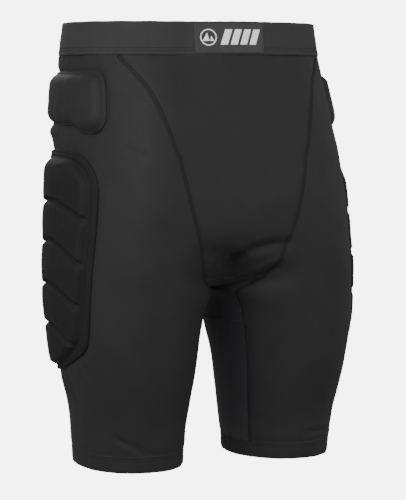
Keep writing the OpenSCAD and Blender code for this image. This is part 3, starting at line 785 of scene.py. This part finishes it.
V_SEAM = V_BAND + 0.002
for side, word in SIDES:
    v = np.concatenate([np.linspace(V_SEAM, 1, 180), np.linspace(1, V_HEM + 0.006, 110)[1:]])
    for kind, line in (("front", fs), ("back", bs)):
        ob = seam_piece(f"{kind}_seam_tape_{word}", *line_on(side, v, line(v)))
        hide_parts(f"{kind}_seam_{word}", f"inseam_{kind}_{word}")
        crease_blend(ob)
    t = np.linspace(-INNER_T, INNER_T, 40)
    ob = seam_piece(f"gusset_seam_tape_{word}", *line_on(side, np.full(40, V_CROSS), t), mat=SMOOTH_PAINTED_LIGHT)
    crease_blend(ob)
t = np.linspace(-1, 1, 60)
for name, tt in (("gusset_seam_tape_front", t * fs(V_SPLIT)), ("gusset_seam_tape_back", 1 + t * (1 - bs(V_SPLIT)))):
    ob = seam_piece(name, *line_on(1, np.full(60, V_SPLIT), tt), mat=SMOOTH_PAINTED_LIGHT)
    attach(ob, "trunk")


# ---------------------------------------------------------------- waistband, label, hems
def ring_piece(name, rings, mat, nodes):
    """Closed tube: a list of point rings (m, 3) that wraps on itself."""
    R = np.array(rings)
    n, m = R.shape[:2]
    P = R.reshape(-1, 3)
    Q = np.concatenate([quads(n, m, wrap=True),
                        np.stack([(n - 1) * m + np.arange(m), np.arange(m), (np.arange(m) + 1) % m,
                                  (n - 1) * m + (np.arange(m) + 1) % m], -1)])
    fab = np.stack([np.repeat([np.cumsum(np.linalg.norm(np.diff(R[0], axis=0, prepend=R[0][:1]), axis=1))], n, 0),
                    R[..., 2], 0 * R[..., 0]], -1).reshape(-1, 3)
    ob = make(name, P, outward(P, Q), mat, fab)
    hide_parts(*nodes)
    return ob


def band_point(zd, h, t):
    """On the waistband: zd mm below its top edge, h mm out of the mid-surface, t from 0 to 2 round the body."""
    P, N = sample(1, zd / BAND_H * V_BAND, np.where(t > 1, t - 2, t), plain=True)
    return P + N * h[:, None], N


def waist_wave(t):
    """Slow rise and fall of the waistband round the body, in mm."""
    return 0.35 * np.sin(t * pi * 3 + 0.6)


cols = count(720)
tr = np.arange(cols) * 2.0 / cols
ang = tr * pi
prof = []
for zd in np.concatenate([[2.0, 4, 7, 11, 15, 19, 23], np.arange(26, 34.6, 0.45)]):
    dip = 0.42 * math.exp(-((zd - 29.3) / 0.62) ** 2) + 0.42 * math.exp(-((zd - 32.0) / 0.62) ** 2)
    prof.append((zd, 2.0 - dip + 0.1 * math.sin(zd * 0.4), 1.0))
prof += [(35.2, 1.9, 1), (35.8, 1.6, 1), (36.05, 1.15, 1), (36.0, 0.8, 0.6), (35.4, 0.72, 0.2), (33, 0.7, 0)]
prof += [(33, -0.7, 0), (35.4, -0.72, 0), (36.0, -1.1, 0), (35.8, -1.6, 0), (35, -1.95, 0)]
prof += [(zd, -1.95, 0) for zd in (30, 24, 18, 12, 7, 4, 2)]
prof += [(2 - 1.95 * math.sin(a), -1.95 * math.cos(a), 1) for a in np.linspace(0.25, pi - 0.15, 11)]
pucker = 0.10 * np.sin(ang * 118 + np.sin(ang * 7)) + 0.12 * np.sin(ang * 9 + 1) + 0.08 * np.sin(ang * 23)
rings = []
for zd, h, w in prof:
    near_stitch = math.exp(-((zd - 30.5) / 3.2) ** 2)
    hh = h + w * (pucker * (0.35 + near_stitch))
    P, _ = band_point(zd, hh, tr)
    P[:, 2] += waist_wave(tr) + 0.12 * np.sin(ang * 31)
    rings.append(P)
band = ring_piece("waistband", rings, BAND, ["waistband_casing", "waistband_elastic"])
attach(band, "trunk")


def run_stitches(C, N, pitch, length, width=0.55, height=0.4, lift=0.0):
    """Stitches in a row along a closed or open line of points."""
    run = length_along(C)
    s = np.arange(length, run[-1] - length, pitch)
    nn = points_at(s, run, N)
    a, b = (points_at(s + end * length / 2, run, C) + nn * lift for end in (-1, 1))
    return capsules(a, b, nn, width, height)


def thread_piece(name, parts):
    ob = make(name, *join(parts), THREAD)
    return ob


parts = []
tt = np.linspace(0.0, 2.0, 1400)
for zd in (29.3, 32.0):
    C, N = band_point(zd, np.full(len(tt), 1.72), tt)
    C[:, 2] += waist_wave(tt)
    parts.append(run_stitches(C, N, 3.0, 2.2))
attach(thread_piece("waistband_stitching", parts), "trunk")

# Label: a satin patch, its edge stitching and a generic raised mark.
LW, LT, LB = 82.0, 1.8, 34.6


def label_point(x, zd, h):
    t = x / 1000.0
    for _ in range(3):
        P, _n = sample(1, zd / BAND_H * V_BAND, t, plain=True)
        t = t * np.where(np.abs(P[..., 0]) > 1e-6, x / np.where(np.abs(P[..., 0]) > 1e-6, P[..., 0], 1), 1)
    P, N = sample(1, zd / BAND_H * V_BAND, t, plain=True)
    P = P.copy()
    P[..., 2] += waist_wave(t)
    return P + N * np.asarray(h)[..., None], N


gx, gz = np.meshgrid(np.linspace(-1, 1, 90), np.linspace(-1, 1, 40))
corner = np.clip(np.abs(gx) - 0.94, 0, 1) * np.clip(np.abs(gz) - 0.86, 0, 1)
X, Z = gx * LW / 2 * (1 - corner * 2), (LT + LB) / 2 + gz * (LB - LT) / 2 * (1 - corner * 3)
rim = np.minimum((1 - np.abs(gx)) * LW / 2, (1 - np.abs(gz)) * (LB - LT) / 2)
H = 2.62 - 0.35 * np.exp(-((rim - 1.6) / 0.6) ** 2) - 0.25 * np.exp(-(rim / 0.5) ** 2) \
    + 0.05 * np.sin(X / 5.0) * np.sin(Z / 4.0)
P, N = label_point(X, Z, 0 * H)
Q = facing(P.reshape(-1, 3), quads(*X.shape), N.reshape(-1, 3))
V, F, k = thicken(P.reshape(-1, 3), Q, H.ravel(), 0 * H.ravel() + 1.95, N.reshape(-1, 3))
fab = np.stack([X, Z, 0 * X], -1).reshape(-1, 3)
label = make("label_fabric", V, F, LABEL, fab[k])
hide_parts("label_patch")
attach(label, "trunk")


def mark_poly(corners, n=10):
    """A four-sided patch of the mark, its corners (x, zd) in order round it."""
    a, b, c, d = (np.array(x, float) for x in corners)
    f, g = np.meshgrid(np.linspace(0, 1, n), np.linspace(0, 1, n), indexing="ij")
    f, g = f[..., None], g[..., None]
    return (a * (1 - f) + b * f) * (1 - g) + (d * (1 - f) + c * f) * g


def mark_part(XZ, low=2.45, high=2.86):
    P, N = label_point(XZ[..., 0], XZ[..., 1], 0 * XZ[..., 0])
    P, N = P.reshape(-1, 3), N.reshape(-1, 3)
    Q = facing(P, quads(*XZ.shape[:2]), N)
    V, F, _ = thicken(P, Q, high, low, N)
    return V, F


cx, cz = -25.5, 18.0
th = np.linspace(0, 2 * pi, 73)[:, None]
ringxz = np.stack([cx + np.cos(th) * np.array([9.2, 8.0]), cz + np.sin(th) * np.array([9.2, 8.0])], -1)
parts = [mark_part(ringxz),
         mark_part(mark_poly([(cx - 6.6, cz + 4.2), (cx - 1.6, cz - 4.8), (cx - 1.2, cz - 4.8),
                              (cx + 1.0, cz + 4.2)])),
         mark_part(mark_poly([(cx + 1.9, cz + 4.2), (cx + 2.9, cz - 1.2), (cx + 3.2, cz - 1.2),
                              (cx + 6.4, cz + 4.2)]))]
top, foot, wide, lean = 9.4, 26.4, 8.2, 6.5
for x0 in (-12.5, -1.0, 10.5, 22.0):
    parts.append(mark_part(mark_poly([(x0 + lean, top), (x0, foot), (x0 + wide, foot), (x0 + wide + lean, top)])))
P, Q = join(parts)
ob = make("label_mark", P, Q, MARK_GLOW)
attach(ob, "trunk")

# Hem profile: (share of the hem's height, mm out of the mid-surface), outside first, then back up inside.
HEM_PROFILE = [
    (0.0, -0.72), (-0.012, 0.0), (-0.004, 0.62), (0.03, 0.86), (0.12, 0.92), (0.16, 0.74), (0.20, 0.92),
    (0.27, 0.95), (0.31, 0.76), (0.35, 0.96), (0.45, 1.05), (0.6, 1.12), (0.75, 1.15), (0.88, 1.1), (0.95, 0.9),
    (0.985, 0.5), (1.0, 0.0), (0.99, -0.6), (0.96, -1.1), (0.9, -1.4), (0.7, -1.45), (0.5, -1.45), (0.3, -1.45),
    (0.12, -1.4), (0.04, -1.2)]


def hem_point(side, d, h, t):
    """On a hem: d of the way down it, h mm out of the mid-surface, with the ruffle that grows downward."""
    a = t * 2 * pi
    ruffle = 0.05 * np.sin(a * 52 + side) + 0.1 * np.sin(a * 17 + 2 * side) + 0.25 * np.sin(a * 5 + 1)
    seam = np.minimum(np.abs(t - INNER_T), np.abs(t - 1 + INNER_T)) * 400
    ruffle += 0.85 * np.exp(-(seam / 3.2) ** 2)
    P, N = sample(side, min(V_HEM + (2.0 - V_HEM) * d, 2.0), t)
    return P + N * (h + ruffle * (0.4 + 0.6 * d))[:, None], N


cols = count(360)
for side, word in SIDES:
    rings = [hem_point(side, d, h, np.arange(cols) / cols)[0] for d, h in HEM_PROFILE]
    ob = ring_piece(f"hem_fabric_{word}", rings, HEM, [f"hem_band_{word}"])
    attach(ob, f"{word}_leg")
    lines = [hem_point(side, d, 0.84, np.linspace(0, 1, 700)) for d in (0.16, 0.31)]
    ob = thread_piece(f"hem_stitching_{word}", [run_stitches(C, N, 3.0, 2.2) for C, N in lines])
    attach(ob, f"{word}_leg")


# ---------------------------------------------------------------- pads
def disc_to_ring(n, m, ring, centre):
    """Even grid of points that fills a closed outline; its border lies on the outline."""
    a, b = np.meshgrid(np.linspace(-1, 1, n), np.linspace(-1, 1, m), indexing="ij")
    size = np.ptp(ring, axis=0) / 2
    r = np.maximum(np.maximum(np.abs(a), np.abs(b)), 1e-9)
    ang = np.arctan2(b / r * size[1], a / r * size[0])
    d = ring - centre
    ra = np.arctan2(d[:, 1], d[:, 0])
    o = np.argsort(ra)
    ra, rr = ra[o], np.linalg.norm(d, axis=1)[o]
    R = np.interp(ang, np.concatenate([ra - 2 * pi, ra, ra + 2 * pi]), np.tile(rr, 3))
    return centre[0] + np.cos(ang) * R * r, centre[1] + np.sin(ang) * R * r


def bevel(d, w):
    """Height share at a distance d inside a block: a slope with a rounded foot and shoulder."""
    x = np.clip(d / w, 0, 1.35)
    foot = np.clip(x / 0.18, 0, 1)
    rise = 1 - np.clip(1 - x / 1.1, 0, 1) ** 1.9
    return rise * (0.35 + 0.65 * foot)


def side_point(side, s, z, h):
    v, t = side_vt(s + np.where(np.asarray(z) > -125, HIP_SHIFT[side], 0), z)
    P, N = sample(side, v, t, plain=True)
    return P + N * (np.asarray(h) + pull(side, s, z))[..., None], N


def back_point(_side, s, z, h):
    v, t = back_vt(s, z)
    P, N = sample(1, v, t, plain=True)
    flip = np.where(s < 0, -1, 1)[..., None] * np.array([1.0, 0, 0]) + np.array([0, 1.0, 1.0])
    P, N = P * flip, N * flip
    return P + N * np.asarray(h)[..., None], N


def slab(top, base, N):
    """Closed solid between two grids of points, its top facing along N."""
    n, m = top.shape[:2]
    P = top.reshape(-1, 3)
    V, F, _ = thicken(P, facing(P, quads(n, m), N.reshape(-1, 3)), 0.0, 0.0)
    V[n * m:] = base.reshape(-1, 3)
    return V, F


def swell(side, place, ring, centre, shape, n, m, cap):
    """Fills a coarse copy of a pad with air, sewn lines held. Returns how far its face moves, in mm."""
    S, Z = disc_to_ring(n, m, ring, np.array(centre, float))
    H, hold = shape(S, Z)
    top, N = place(side, S, Z, H)
    base, _ = place(side, S, Z, 0 * H - 1.0)
    ob = make("swell", *slab(top, base, N), PADF)
    group = ob.vertex_groups.new(name="sewn")
    for i, w in enumerate(np.concatenate([hold.ravel(), np.ones(n * m)])):
        if w > 0.01:
            group.add([i], float(w), "REPLACE")
    cloth_mod = ob.modifiers.new("Cloth", "CLOTH")
    c = cloth_mod.settings
    c.quality, c.mass, c.air_damping = 6, 0.12, 2.0
    c.tension_stiffness = c.compression_stiffness = 12.0
    c.shear_stiffness, c.bending_stiffness = 6.0, 0.4
    c.use_pressure, c.uniform_pressure_force = True, 4.0
    c.shrink_min = -0.005
    c.vertex_group_mass = "sewn"
    c.effector_weights.gravity = 0.0
    cloth_mod.point_cache.frame_start, cloth_mod.point_cache.frame_end = 1, 20
    for frame_no in range(1, 21):
        bpy.context.scene.frame_set(frame_no)
    done = ob.evaluated_get(bpy.context.evaluated_depsgraph_get())
    me = done.to_mesh()
    X = np.empty(len(me.vertices) * 3)
    me.vertices.foreach_get("co", X)
    done.to_mesh_clear()
    old = ob.data
    bpy.data.objects.remove(ob)
    bpy.data.meshes.remove(old)
    bpy.context.scene.frame_set(1)
    move = (X.reshape(-1, 3)[:n * m] * 1000 - top.reshape(-1, 3)).reshape(n, m, 3)
    size = np.linalg.norm(move, axis=-1, keepdims=True)
    move = move * np.minimum(1, cap / np.maximum(size, 1e-6)) * (1 - hold[..., None])
    for _ in range(7):
        soft = np.pad(move, ((1, 1), (1, 1), (0, 0)), "edge")
        move = (soft[:-2, 1:-1] + soft[2:, 1:-1] + soft[1:-1, :-2] + soft[1:-1, 2:] + 4 * move) / 8
    return move


def pad_piece(name, side, place, ring, centre, shape, n, m, mat, nodes, cap, coarse):
    S, Z = disc_to_ring(n, m, ring, np.array(centre, float))
    H, _ = shape(S, Z)
    top, N = place(side, S, Z, H)
    move = swell(side, place, ring, centre, shape, *coarse, cap)
    i, j = np.meshgrid(np.linspace(0, coarse[0] - 1, n), np.linspace(0, coarse[1] - 1, m), indexing="ij")
    top = top + bilinear(move, i, j)
    base, _ = place(side, S, Z, np.minimum(0.78, H - 0.15))
    fab = np.stack([S, Z, 0 * S], -1).reshape(-1, 3)
    ob = make(name, *slab(top, base, N), mat, np.concatenate([fab, fab]))
    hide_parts(*nodes)
    return ob


def inset(ring, d):
    """Outline moved inward by d mm."""
    t = np.roll(ring, -1, 0) - np.roll(ring, 1, 0)
    n = np.stack([-t[:, 1], t[:, 0]], -1) / np.linalg.norm(t, axis=1, keepdims=True)
    if ((ring.mean(0) - ring) * n).sum() < 0:
        n = -n
    return ring + n * d


def pad_stitches(name, side, place, ring, rows, shape):
    parts = []
    for d in rows:
        r = inset(ring, d)
        r = np.concatenate([r, r[:1]])
        run = length_along(r)
        s = np.linspace(0, run[-1], int(run[-1] / 1.2))
        S, Z = (np.interp(s, run, r[:, k]) for k in (0, 1))
        C, N = place(side, S, Z, shape(S, Z)[0] + 0.12)
        parts.append(run_stitches(C, N, 2.9, 2.1, 0.5, 0.42))
    return thread_piece(name, parts)


GROOVES = [(-191.0, 17.0), (-233.5, 24.5), (-279.0, 25.0), (-322.0, 32.0)]


def groove(off, up, down):
    """Share of a groove's depth: a steep wall above the line and a wide slope below it."""
    return 1 - smooth(np.where(off > 0, off / up, -off / down), 0.1, 1.0)


def thigh_shape(S, Z):
    """Height of the pad's face, and how firmly each place is sewn down."""
    d = to_outline(S, Z, THIGH_RING)
    low_corner = smooth(np.abs(S - THIGH_C), 30, 62) * smooth(Z, -362, -335)
    margin = 6.5 + 2.5 * smooth(Z, -362, -345) + 4.0 * low_corner
    block = d - margin
    cut = 0 * S
    for z0, drop in GROOVES:
        p = np.abs(S - (THIGH_C + 14)) / 86
        cut = np.maximum(cut, groove((Z - z0 + drop * p ** 2) / np.hypot(1, 2 * drop * p / 86), 2.4, 8.0))
    inside = smooth(block, -1, 6)
    slope = 6.5 + 5.0 * smooth(Z, -178, -150) * smooth(S, -10, 30) - 1.5 * smooth(-Z, 340, 360)
    rise = 6.9 * bevel(block, slope) + 1.6 * smooth(block, 0, 4) - 4.6 * cut * inside
    # the flange: a soft lip with two sewn lines, then the fabric
    lip = 1.8 * np.clip(d / 1.4, 0, 1) ** 0.5 + 0.7 * np.exp(-((d - 1.7) / 1.2) ** 2)
    lip += 0.8 * np.exp(-((d - 6.0) / 1.7) ** 2)
    lip -= 0.55 * np.exp(-((d - 3.6) / 0.55) ** 2) + 0.6 * np.exp(-((block + 1.2) / 0.9) ** 2)
    wob = undulation(np.stack([S, Z, 0 * S], -1), 34, 0.12)
    hold = np.maximum(1 - smooth(block, 0.5, 7), smooth(cut, 0.55, 0.95) * inside)
    return 0.95 + lip * (1 - smooth(block, 0, 4)) + rise + wob * smooth(block, 0, 6), hold


def hip_shape(S, Z):
    d = to_outline(S, Z, HIP_RING)
    pillow = 6.6 * (1 - (1 - np.clip((d - 2.6) / 12.0, 0, 1)) ** 2.2) - 1.2 * np.exp(-((d - 0.6) / 2.4) ** 2)
    lip = 1.4 * np.clip(d / 1.2, 0, 1) ** 0.5 + 0.3 * np.exp(-((d - 1.2) / 0.8) ** 2)
    lip -= 0.5 * np.exp(-((d - 2.9) / 0.9) ** 2)
    grain = np.stack([S, Z, 0 * S], -1)
    wob = undulation(grain, 46, 0.34) + undulation(grain, 19, 0.07, 2)
    return 0.95 + lip + pillow + wob * smooth(d, 2, 14), 1 - smooth(d, 4.0, 10)


TAIL_GROOVES = [(-148.0, 9.0), (-186.0, 9.0)]


def tail_shape(S, Z):
    d = to_outline(S, Z, TAIL_RING)
    block = d - 7.5
    cut = 0 * S
    for z0, drop in TAIL_GROOVES:
        cut = np.maximum(cut, groove(Z - z0 + drop * (np.abs(S) / 47) ** 1.6, 2.4, 7.0))
    inside = smooth(block, -1, 6)
    lip = 1.8 * np.clip(d / 1.3, 0, 1) ** 0.5 + 0.55 * np.exp(-((d - 1.6) / 1.1) ** 2)
    lip += 0.5 * np.exp(-((d - 5.0) / 1.1) ** 2)
    lip -= 0.45 * np.exp(-((d - 3.3) / 0.6) ** 2)
    rise = 6.4 * bevel(block, 7) + 1.6 * smooth(block, 0, 4) - 4.4 * cut * inside
    wob = undulation(np.stack([S, Z, 0 * S], -1), 30, 0.12)
    hold = np.maximum(1 - smooth(block, 0.5, 6), smooth(cut, 0.55, 0.95) * inside)
    return 0.95 + lip * (1 - smooth(block, 0, 4)) + rise + wob * smooth(block, 0, 6), hold


for side, word in SIDES:
    pad = pad_piece(f"thigh_pad_{word}", side, side_point, THIGH_RING, (THIGH_C, -257), thigh_shape,
                    count(140), count(190), PADF,
                    [f"thigh_pad_flange_{word}"] + [f"thigh_pad_block_{word}_{k}" for k in range(1, 6)],
                    2.6, (56, 76))
    crease_blend(pad)
    crease_blend(pad_stitches(f"thigh_pad_stitching_{word}", side, side_point, THIGH_RING, (3.6, 8.4),
                              thigh_shape))
    pad = pad_piece(f"hip_pad_{word}", side, side_point, HIP_RING, (HIP_C, -84), hip_shape,
                    count(140), count(64), KNIT, [f"hip_pad_flange_{word}", f"hip_pad_block_{word}"],
                    3.2, (56, 24))
    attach(pad, "trunk")
    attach(pad_stitches(f"hip_pad_stitching_{word}", side, side_point, HIP_RING, (2.6,), hip_shape), "trunk")
pad = pad_piece("tail_pad", 1, back_point, TAIL_RING, (0, -170), tail_shape, count(80), count(104), PADF,
                ["tail_pad_flange"] + [f"tail_pad_block_{k}" for k in (1, 2, 3)], 2.4, (32, 44))
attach(pad, "trunk")
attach(pad_stitches("tail_pad_stitching", 1, back_point, TAIL_RING, (3.3,), tail_shape), "trunk")

# ---------------------------------------------------------------- stage, light, camera
floor_m = bpy.data.materials.new("studio")
floor_m.use_nodes = True
nt = floor_m.node_tree
fb = nt.nodes["Principled BSDF"]
fb.inputs["Base Color"].default_value = (0.25, 0.25, 0.25, 1)
fb.inputs["Roughness"].default_value = 0.9
fb.inputs["Emission Color"].default_value = (1, 1, 1, 1)
seen = node(nt, "ShaderNodeLightPath")
glow = math_node(nt, "MULTIPLY_ADD", seen.outputs["Is Camera Ray"], 6.0)
glow.node.inputs[2].default_value = 0.03
nt.links.new(glow, fb.inputs["Emission Strength"])
grain = node(nt, "ShaderNodeTexNoise", in_Scale=30.0)
bump = node(nt, "ShaderNodeBump", in_Strength=0.02, in_Distance=0.001)
nt.links.new(grain.outputs["Fac"], bump.inputs["Height"])
nt.links.new(bump.outputs[0], fb.inputs["Normal"])
ring_r = np.concatenate([[0.02], np.geomspace(0.3, 14.0, 16)])
turn = np.arange(48) * 2 * pi / 48
P = np.array([[(r * math.cos(a), r * math.sin(a), -0.9) for a in turn] for r in ring_r]) * 1000.0
floor = make("studio_floor", P.reshape(-1, 3), quads(len(ring_r), 48, wrap=True), floor_m)

world = bpy.data.worlds.new("studio")
bpy.context.scene.world = world
world.use_nodes = True
nt = world.node_tree
nt.nodes["Background"].inputs["Color"].default_value = (1, 1, 1, 1)
seen = node(nt, "ShaderNodeLightPath")
glow = math_node(nt, "MULTIPLY_ADD", seen.outputs["Is Camera Ray"], 5.9)
glow.node.inputs[2].default_value = 0.16
nt.links.new(glow, nt.nodes["Background"].inputs["Strength"])


def area_light(name, place, target, size, power):
    d = bpy.data.lights.new(name, "AREA")
    d.shape, d.size, d.size_y, d.energy = "RECTANGLE", size[0], size[1], power
    ob = bpy.data.objects.new(name, d)
    ob.location = place
    ob.rotation_euler = (Vector(target) - Vector(place)).to_track_quat("-Z", "Y").to_euler()
    bpy.context.scene.collection.objects.link(ob)
    return ob


area_light("key", (-1.5, -1.45, 1.15), (0, 0, -0.15), (1.7, 1.1), 33)
area_light("fill", (1.3, -2.1, 0.3), (0, 0, -0.25), (1.4, 1.2), 13)
area_light("low", (-0.5, -2.3, -0.45), (0, 0, -0.3), (1.2, 0.5), 2.2)
area_light("side", (-2.0, 0.2, 0.2), (0, 0, -0.25), (0.8, 1.2), 6)
area_light("right", (2.0, -0.1, 0.3), (0, 0, -0.25), (0.8, 1.2), 4)
area_light("back", (0.5, 2.5, 1.1), (0, 0, -0.25), (1.6, 1.2), 20)

az, dist = math.radians(-26), 2.1
cam_d = bpy.data.cameras.new("camera")
cam_d.lens, cam_d.sensor_width = 135.6, 36.0
cam_d.shift_x = 0.02
cam = bpy.data.objects.new("camera", cam_d)
cam.location = (math.sin(az) * dist, -math.cos(az) * dist, -0.06)
cam.rotation_euler = (Vector((0, 0, -0.252)) - cam.location).to_track_quat("-Z", "Y").to_euler()
cam_d.clip_start, cam_d.clip_end = 0.05, 30
bpy.context.scene.collection.objects.link(cam)
bpy.context.scene.camera = cam
